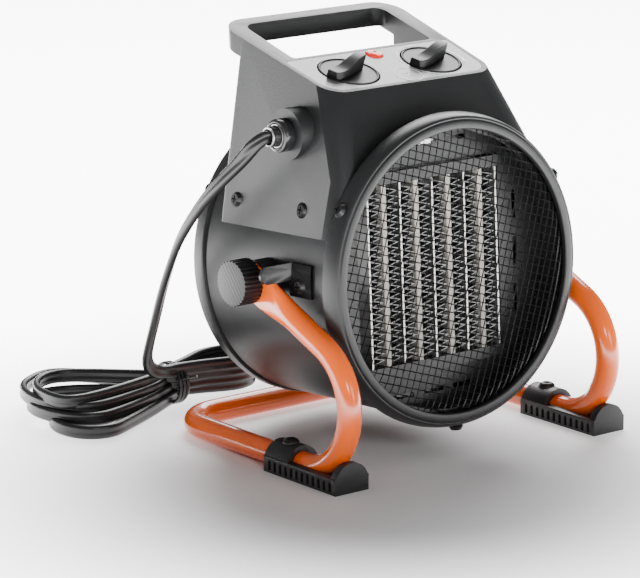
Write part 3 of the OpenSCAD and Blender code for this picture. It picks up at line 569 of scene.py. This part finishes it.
def stand_tube():
    points, foot, ahead, leg = tube_line()
    halves = []
    for hand in (1, -1):
        fresh()
        bpy.ops.mesh.primitive_circle_add(
            vertices=40, radius=TUBE_D / 2, location=(0, CROSS_Y, REST_Z),
            rotation=(0, math.pi / 2, 0),
        )
        half = bpy.context.object
        fresh()
        half.select_set(True)
        bpy.context.view_layer.objects.active = half
        bpy.ops.object.transform_apply(location=True, rotation=True, scale=True)
        bpy.ops.object.mode_set(mode="EDIT")
        bpy.ops.mesh.select_all(action="SELECT")
        ring_ahead = Vector((1, 0, 0))
        at = points[0]
        for i, point in enumerate(points[1:], 1):
            after = points[i + 1] if i + 1 < len(points) else point + (point - points[i - 1])
            turned_to = ((point - points[i - 1]).normalized() + (after - point).normalized()).normalized()
            bpy.ops.mesh.extrude_region_move(TRANSFORM_OT_translate={"value": point - at})
            bend = ring_ahead.rotation_difference(turned_to).to_matrix().to_4x4()
            net = bmesh.from_edit_mesh(half.data)
            ring = [v for v in net.verts if v.select]
            turn = Matrix.Translation(point) @ bend @ Matrix.Translation(-point)
            bmesh.ops.transform(net, matrix=turn, verts=ring)
            bmesh.update_edit_mesh(half.data)
            ring_ahead, at = turned_to, point
        bpy.ops.object.mode_set(mode="OBJECT")
        upward = Vector((1, 0, 0)).cross(ahead)
        for v in half.data.vertices:
            run = (v.co - foot).dot(ahead)
            if run < 1 or v.co.z < 60:
                continue
            side = (v.co - foot).dot(upward)
            out = v.co.x - SIDE_X
            t = max(0.0, min(1.0, (run - (leg - 50)) / 42))
            t = t * t * (3 - 2 * t)
            width = 1 + (STRAP_W / TUBE_D - 1) * t
            past = run - leg
            if past > 0:
                width *= math.sqrt(max(0.0004, 1 - (past / (STRAP_W / 2)) ** 2))
            edge = abs(side) / (TUBE_D / 2)
            thick = STRAP_T / TUBE_D
            flat = out * (1 - t) + t * math.copysign(min(abs(out), STRAP_T / 2), out)
            squeezed = out * (1 - t + t * thick) if edge > 0.9 else flat
            v.co += upward * side * (width - 1)
            v.co.x = SIDE_X + squeezed + t * STRAP_T / 2
        if hand < 0:
            half.matrix_world = Matrix.Scale(-1, 4, (1, 0, 0))
            fresh()
            half.select_set(True)
            bpy.context.view_layer.objects.active = half
            bpy.ops.object.transform_apply(location=True, rotation=True, scale=True)
        halves.append(half)
    tube = join(halves)
    bpy.ops.object.mode_set(mode="EDIT")
    bpy.ops.mesh.select_all(action="SELECT")
    bpy.ops.mesh.remove_doubles(threshold=0.01)
    bpy.ops.mesh.select_all(action="DESELECT")
    bpy.ops.mesh.select_non_manifold()
    bpy.ops.mesh.fill_holes(sides=0)
    bpy.ops.mesh.select_all(action="SELECT")
    bpy.ops.mesh.normals_make_consistent(inside=False)
    bpy.ops.object.mode_set(mode="OBJECT")
    settle(tube, "orange_tube", "stand", ORANGE, WORLD, 50)
    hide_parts("stand_tube")


stand_tube()


def feet():
    for side in ("left", "right"):
        foot = from_node(side + "_foot", 0.45, 2, 28)
        settle(foot, side + "_rubber_foot", "stand", RUBBER, WORLD, 40)
        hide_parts(side + "_foot")
    heads = []
    for x in (-SIDE_X, SIDE_X):
        head = turned(
            [
                (0, -9), (1.95, -9), (1.95, 0), (5.4, 0), (5.5, 0.5), (5.2, 1.3), (4.4, 2.3), (3.4, 2.9),
                (2.6, 3.1), (2.5, 2.2), (0, 2.2),
            ],
            40, False,
        )
        moved(head, Matrix.Translation((x, *FOOT_SCREW)))
        heads.append(head)
    heads = join(heads)
    settle(heads, "foot_screw_heads", "stand", SCREW, WORLD, 40)
    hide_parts("foot_screws")


feet()


# ---------------------------------------------------------------- drum, bezel and ring
def drum():
    shell = turned(
        [
            (DRUM_R, DRUM_FRONT), (DRUM_R, DRUM_BACK),
            (DRUM_R - DRUM_WALL, DRUM_BACK), (DRUM_R - DRUM_WALL, DRUM_FRONT),
        ],
        160,
    )
    moved(shell, ALONG_DRUM)
    settle(shell, "drum_sheet", "heater", CHARCOAL)
    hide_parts("drum_shell")

    bezel = turned(
        [
            (88.0, 1.4), (88.15, 0.7), (88.7, 0.2), (89.6, 0.05), (92.2, 0.05), (93.0, 0.3), (93.5, 0.9),
            (94.1, 1.25), (94.8, 1.1), (95.4, 1.4), (96.2, 2.6), (96.9, 4.2), (97.4, 6.0), (97.8, 8.2),
            (98.0, 10.0), (98.0, 12.4), (97.6, 12.95), (93.45, 12.95), (93.45, 3.9), (89.6, 3.9),
            (88.2, 3.4), (88.0, 2.6),
        ],
        192,
    )
    moved(bezel, ALONG_DRUM)
    settle(bezel, "bezel_ring", "heater", CHARCOAL, angle=30)
    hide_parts("front_bezel")

    ring = turned(
        [
            (90.2, 126.5), (92.1, 126.5), (92.1, 136.4), (93.4, 136.9), (94.2, 137.2), (94.7, 138.0),
            (94.7, 145.2), (94.3, 146.6), (93.2, 147.7), (91.9, 148.0), (86.0, 148.0), (85.7, 147.6),
            (85.7, 146.1), (90.2, 145.9), (90.2, 139.2),
        ],
        160,
    )
    moved(ring, ALONG_DRUM)
    settle(ring, "rear_ring", "heater", CHARCOAL, angle=30)
    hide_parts("back_ring")


drum()


def guard():
    """The wire mesh: a domed net of square meshes whose edge curls back behind the bezel."""
    pitch, reach = 5.05, 18
    keep_r, rim_r, curl_r = 88.5, 90.5, 80
    fresh()
    bpy.ops.mesh.primitive_grid_add(
        x_subdivisions=2 * reach, y_subdivisions=2 * reach, size=2 * reach * pitch,
    )
    net_piece = bpy.context.object
    moved(net_piece, Matrix.Rotation(math.radians(18), 4, "Z"))
    bpy.ops.object.mode_set(mode="EDIT")
    bpy.ops.mesh.select_all(action="DESELECT")
    net = bmesh.from_edit_mesh(net_piece.data)
    for face in net.faces:
        middle = face.calc_center_median()
        face.select = math.hypot(middle.x, middle.y) > keep_r
    bmesh.update_edit_mesh(net_piece.data)
    bpy.ops.mesh.delete(type="FACE")
    bpy.ops.object.mode_set(mode="OBJECT")
    for v in net_piece.data.vertices:
        r = math.hypot(v.co.x, v.co.y)
        if r > rim_r:
            v.co.x *= rim_r / r
            v.co.y *= rim_r / r
            r = rim_r
        curl = max(0.0, (r - curl_r) / (rim_r - curl_r))
        v.co.z = 1.3 + 3.0 * (r / 88) ** 2 + 3.2 * curl**2
    wires = net_piece.modifiers.new("wires", "WIREFRAME")
    wires.thickness = 1.0
    wires.use_even_offset = False
    wires.use_boundary = True
    apply_all(net_piece)
    moved(net_piece, ALONG_DRUM)
    rim = turned([(86.5, 8.6), (91.6, 8.6), (91.6, 9.8), (86.5, 9.8)], 120)
    moved(rim, ALONG_DRUM)
    net_piece = join([net_piece, rim])
    settle(net_piece, "mesh_guard", "heater", GUARD, angle=40)
    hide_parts("front_guard")


guard()


# ---------------------------------------------------------------- housing
def housing():
    shell = from_node("upper_housing", 0, 2, 30)
    moved(shell, HEATER.inverted())
    bevelled(shell, 1.1, 3, 32)
    settle(shell, "housing_shell", "heater", HOUSING, HEATER, 40)
    even_sides(shell)
    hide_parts("upper_housing")


housing()


# ---------------------------------------------------------------- controls
def lever(length, low, high):
    """A knob's grip: a low rounded block at one end that sweeps up in an S to a high narrow tip."""
    fresh()
    bpy.ops.mesh.primitive_cube_add(size=1)
    grip = bpy.context.object
    bpy.ops.object.mode_set(mode="EDIT")
    bpy.ops.mesh.select_all(action="SELECT")
    bpy.ops.mesh.subdivide(number_cuts=13)
    bpy.ops.object.mode_set(mode="OBJECT")
    for v in grip.data.vertices:
        along, up = v.co.y + 0.5, v.co.z + 0.5
        rise = max(0.0, min(1.0, (along - 0.18) / 0.62))
        rise = rise * rise * (3 - 2 * rise)
        top = low + (high - low) * rise - 1.6 * max(0.0, (along - 0.86) / 0.14) ** 2
        foot = 10.6 - 3 * rise
        crown = 8.8 - 2 * rise
        width = foot + (crown - foot) * up
        round_end = math.sqrt(max(0.0, 1 - (max(0.0, abs(along - 0.5) - 0.42) / 0.09) ** 2))
        bow = 1.7 * math.sin(math.pi * (along - 0.1)) * (0.4 + 0.6 * up)
        overhang = 1.6 * up * rise * max(0.0, along - 0.5) * 2
        v.co = (v.co.x * width * (0.45 + 0.55 * round_end) + bow, (along - 0.5) * length + overhang, up * top)
    bevelled(grip, 0.55, 3, 40)
    return grip


def control_knob(name, node, x, turn, body):
    disc = turned(
        [
            (0, -2.2), (18.6, -2.2), (19.0, -1.8), (19.0, -0.1), (18.8, 0.4), (18.35, 0.6), (17.9, 0.4),
            (17.5, 0.0), (0, 0.0),
        ],
        96, False,
    )
    grip = moved(lever(31.5, 4.6, 9.8), Matrix.Translation((-1, -2.2, 0.1)))
    knob = join([disc, grip])
    moved(knob, Matrix.Translation((x, KNOB_S, 0)) @ Matrix.Rotation(math.radians(turn), 4, "Z"))
    settle(knob, name, body, KNOB, TOP, 38)
    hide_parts(node)


control_knob("power_dial", "power_knob", -KNOB_X, KNOB_TURN, "power_dial")
control_knob("heat_dial", "heat_knob", KNOB_X, KNOB_TURN, "heat_dial")


def band(centre, inner, width_at, start, end, steps, height=0.12):
    """A flat printed band round a centre, from one angle to another, as wide as width_at says."""
    fresh()
    bpy.ops.mesh.primitive_plane_add(size=1)
    piece = bpy.context.object
    bpy.ops.object.mode_set(mode="EDIT")
    bpy.ops.mesh.select_all(action="SELECT")
    bpy.ops.mesh.delete(type="VERT")
    net = bmesh.from_edit_mesh(piece.data)
    pairs = []
    for k in range(steps + 1):
        a = math.radians(start + (end - start) * k / steps)
        wide = width_at(k / steps)
        pairs.append(
            [
                net.verts.new((centre[0] + r * math.cos(a), centre[1] + r * math.sin(a), height))
                for r in (inner, inner + wide)
            ]
        )
    for a, b in zip(pairs, pairs[1:]):
        net.faces.new((a[0], a[1], b[1], b[0]))
    bmesh.update_edit_mesh(piece.data)
    bpy.ops.mesh.select_all(action="SELECT")
    bpy.ops.mesh.normals_make_consistent(inside=False)
    bpy.ops.object.mode_set(mode="OBJECT")
    if piece.data.polygons[0].normal.z < 0:
        piece.data.flip_normals()
    return piece


def stroke(a, b, width, height=0.12):
    """A flat printed bar between two points of the panel."""
    fresh()
    a, b = Vector((*a, height)), Vector((*b, height))
    bpy.ops.mesh.primitive_plane_add(size=1)
    bar = bpy.context.object
    turn = math.atan2(b.y - a.y, b.x - a.x)
    size = Matrix.Diagonal(((b - a).length, width, 1, 1))
    return moved(bar, Matrix.Translation((a + b) / 2) @ Matrix.Rotation(turn, 4, "Z") @ size)


def panel_print():
    heat = (KNOB_X, KNOB_S)
    marks = [
        band(heat, 21.3, lambda t: 0.5 + 2.6 * max(0.0, t - 0.35) / 0.65, 262, -22, 110),
        band((3.3, 11), 8.7, lambda t: 0.8, 0, 360, 56),
        stroke((-2.6, 5.1), (9.2, 16.9), 0.8),
    ]
    a = math.radians(-29)
    tip = (heat[0] + 22.6 * math.cos(a), heat[1] + 22.6 * math.sin(a))
    marks.append(stroke((tip[0] - 1.9, tip[1] + 1.2), (tip[0] + 0.4, tip[1] - 0.9), 0.9))
    marks.append(stroke((tip[0] + 2.2, tip[1] + 1.9), (tip[0] + 0.4, tip[1] - 0.9), 0.9))
    for y in (8.6, 11, 13.4):
        marks.append(stroke((-0.6, y), (7.2, y), 0.55))
    tick_in, tick_out = 22.2, 24.8
    for angle in (122, 62, 22, -18):
        a = math.radians(angle)
        inner = (-KNOB_X + tick_in * math.cos(a), KNOB_S + tick_in * math.sin(a))
        outer = (-KNOB_X + tick_out * math.cos(a), KNOB_S + tick_out * math.sin(a))
        marks.append(stroke(inner, outer, 1.0))
    ink = join(marks)
    settle(ink, "panel_marks", "heater", PRINT, TOP, 0)


panel_print()


def lamp():
    lens = turned(
        [
            (0, -3), (5.9, -3), (5.95, 0.1), (5.4, 0.7), (4.6, 1.15), (3.4, 1.5), (1.9, 1.65),
            (0.9, 1.3), (0, 1.2),
        ],
        16, False,
    )
    moved(lens, Matrix.Translation(LAMP))
    settle(lens, "pilot_lens", "heater", LAMP_RED, TOP, 12)
    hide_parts("lamp_lens")
    boss = turned([(0, -25), (6.2, -25), (7.2, -24.4), (7.6, -23), (7.6, -2.6), (0, -2.6)], 48, False)
    moved(boss, Matrix.Translation(LAMP))
    settle(boss, "lamp_boss", "heater", HOUSING, TOP, 35)


lamp()


# ---------------------------------------------------------------- gland
def gland():
    out = Matrix.Translation(GLAND) @ Matrix.Rotation(math.radians(-90), 4, "Y")
    nut = turned(
        [
            (8.1, 84.1), (10.0, 84.1), (10.3, 84.5), (10.3, 88.2), (10.0, 88.35), (10.3, 88.5),
            (10.3, 90.6), (9.9, 91.5),
            (9.1, 91.95), (8.2, 91.95), (7.5, 91.4), (7.3, 90.4), (7.3, 88.6), (8.1, 88.5),
        ],
        72,
    )
    settle(moved(nut, out), "gland_ring_nut", "heater", NUT, HEATER, 35)
    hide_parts("gland_nut")
    collar = turned([(6.55, 91.2), (7.3, 91.2), (7.35, 91.7), (7.2, 92.0), (6.7, 92.05)], 64)
    settle(moved(collar, out), "gland_lip", "heater", PLATE, HEATER, 35)
    sleeve = turned([(4.9, 77), (6.3, 77), (6.0, 94.0), (5.6, 95.6), (5.6, 97.2), (4.9, 97.2)], 64)
    teeth = [sleeve]
    fresh()
    bpy.ops.mesh.primitive_cube_add(size=1)
    tooth = bpy.context.object
    bevelled(moved(tooth, Matrix.Translation((5.9, 0, 94.4)) @ Matrix.Diagonal((1.1, 1.5, 3.2, 1))), 0.35, 2)
    for k in range(1, 14):
        teeth.append(copied(tooth, Matrix.Rotation(2 * math.pi * k / 14, 4, "Z")))
    teeth.append(tooth)
    sleeve = join(teeth)
    settle(moved(sleeve, out), "relief_sleeve", "heater", RUBBER, HEATER, 35)
    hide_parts("strain_relief")
    lip = turned([(5.0, 96.9), (5.9, 96.9), (6.05, 97.4), (5.9, 97.9), (5.2, 97.95)], 64)
    settle(moved(lip, out), "relief_lip", "heater", PLATE, HEATER, 35)


gland()


# ---------------------------------------------------------------- thumb knobs, spacers, tabs
def side_pieces():
    for side in ("left", "right"):
        knob = from_node(side + "_thumb_knob", 0.3, 2, 35)
        settle(knob, side + "_clamp_knob", side + "_thumb", KNOB, WORLD, 30)
        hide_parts(side + "_thumb_knob")
    for node, name, slot, material, edge in (
        ("pivot_spacers", "spacers", "rubber", RUBBER, 0.4),
        ("stop_tabs", "tipping_stops", "guard", BLACK, 0.35),
    ):
        piece = from_node(node, edge, 2, 35)
        settle(piece, name, "heater", material, WORLD, 35)
        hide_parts(node)


side_pieces()


# ---------------------------------------------------------------- finishes of the pieces that stay as drawn
def dress(names, material):
    for name in names:
        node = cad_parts[name]
        node.data.materials.clear()
        node.data.materials.append(material)


dress(["back_grille", "stop_tabs", "baffle", "core_bars", "motor_bracket"], BLACK)
dress(["tab_screws", "skirt_screws", "bezel_screws", "ring_screws", "baffle_screws"], SCREW)
dress(["core_fins"], FIN)
dress(["core_plates"], PLATE)
dress(["core_strips"], CERAMIC)
dress(
    [
        "pivot_studs", "fan_duct", "motor_shaft", "fan_motor", "motor_screws",
        "heat_shaft", "thermal_cutout", "fan_blades",
    ],
    STEEL,
)
dress(["lamp_holder", "power_shaft", "power_switch", "thermostat", "terminal_block"], PALE)
# the control plate carries the painted highlight grey
dress(["control_plate"], PANEL_SHEEN)
dress(["power_knob", "heat_knob", "left_thumb_knob", "right_thumb_knob"], KNOB)
dress(["gland_nut", "gland_body"], NUT)
dress(["strain_relief", "pivot_spacers"], RUBBER)
dress(["lamp_lens"], LAMP_RED)
dress(["plug_body", "cord_end"], CORD)
dress(["plug_pins"], BRASS)


def wire_tie():
    """Three turns of coated wire round the waist of the hank, with its twisted ends lying beside it."""
    loops = []
    for index, lean in enumerate((-0.05, 0.02, 0.09)):
        fresh()
        bpy.ops.mesh.primitive_torus_add(
            major_radius=15.2, minor_radius=1.15, major_segments=48, minor_segments=8,
        )
        loop = bpy.context.object
        moved(loop, Matrix.Diagonal((0.86, 1, 1, 1)))
        moved(loop, Matrix.Rotation(math.pi / 2, 4, "Y"))
        moved(loop, Matrix.Translation((-73.3 + index * 1.9, 139.5, 14.4)) @ Matrix.Rotation(lean, 4, "Z"))
        loops.append(loop)
    for turn, reach in ((0.5, 15), (-0.4, 12)):
        fresh()
        bpy.ops.mesh.primitive_cylinder_add(vertices=10, radius=0.9, depth=reach)
        end = bpy.context.object
        lean = Matrix.Rotation(1.25, 4, "X") @ Matrix.Rotation(turn, 4, "Y")
        moved(end, Matrix.Translation((-71, 127 - reach / 3, 21)) @ lean)
        loops.append(end)
    tie = join(loops)
    settle(tie, "wire_tie", "stand", TIE, WORLD, 50)
    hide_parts("hank_tie")


wire_tie()

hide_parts("cord_drop", "cord_hank", "cord_end")
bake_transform(cord)


# ---------------------------------------------------------------- floor and light
def studio():
    fresh()
    bpy.ops.mesh.primitive_plane_add(size=12)
    floor = bpy.context.object
    floor.name = "floor"
    white = bpy.data.materials.new("floor_painted_shadow")
    white.use_nodes = True
    paint = white.node_tree.nodes["Principled BSDF"]
    paint.inputs["Base Color"].default_value = (0.9, 0.9, 0.905, 1)
    paint.inputs["Roughness"].default_value = 0.6
    paint.inputs["Emission Color"].default_value = (1, 1, 1, 1)
    nodes, link = white.node_tree.nodes, white.node_tree.links.new
    # Painted shadow: the floor's emission is 0 within 0.1 m of a point under the heater and rises to 9 at 0.5
    # m. This leaves a darker pool round the heater on a glowing white floor.
    place = nodes.new("ShaderNodeTexCoord")
    away = nodes.new("ShaderNodeVectorMath")
    away.operation = "DISTANCE"
    away.inputs[1].default_value = (-0.06, -0.08, 0)
    shadow_ramp = nodes.new("ShaderNodeMapRange")
    shadow_ramp.interpolation_type = "SMOOTHSTEP"
    shadow_ramp.inputs["From Min"].default_value = 0.1
    shadow_ramp.inputs["From Max"].default_value = 0.5
    shadow_ramp.inputs["To Min"].default_value = 0.0
    shadow_ramp.inputs["To Max"].default_value = 9.0
    link(place.outputs["Object"], away.inputs[0])
    link(away.outputs["Value"], shadow_ramp.inputs["Value"])
    link(shadow_ramp.outputs[0], paint.inputs["Emission Strength"])
    floor.data.materials.append(white)

    world = bpy.data.worlds.new("studio")
    bpy.context.scene.world = world
    world.use_nodes = True
    world.node_tree.nodes["Background"].inputs["Color"].default_value = (1, 1, 1, 1)
    world.node_tree.nodes["Background"].inputs["Strength"].default_value = 0.3

    def soft_light(name, place, aim, size, power, colour=(1, 1, 1)):
        bpy.ops.object.light_add(type="AREA", location=place)
        light = bpy.context.object
        light.name = name
        light.data.size = size
        light.data.energy = power
        light.data.color = colour
        light.rotation_euler = (Vector(aim) - Vector(place)).to_track_quat("-Z", "Y").to_euler()

    soft_light("rear_softbox", (0.75, 0.75, 0.95), (0, 0, 0.2), 0.9, 26)
    soft_light("left_strip", (-0.7, -1.5, 0.8), (-0.05, 0, 0.14), 0.3, 5)
    soft_light("front_fill", (0.3, -1.7, 0.6), (0, 0, 0.12), 0.6, 5)


studio()
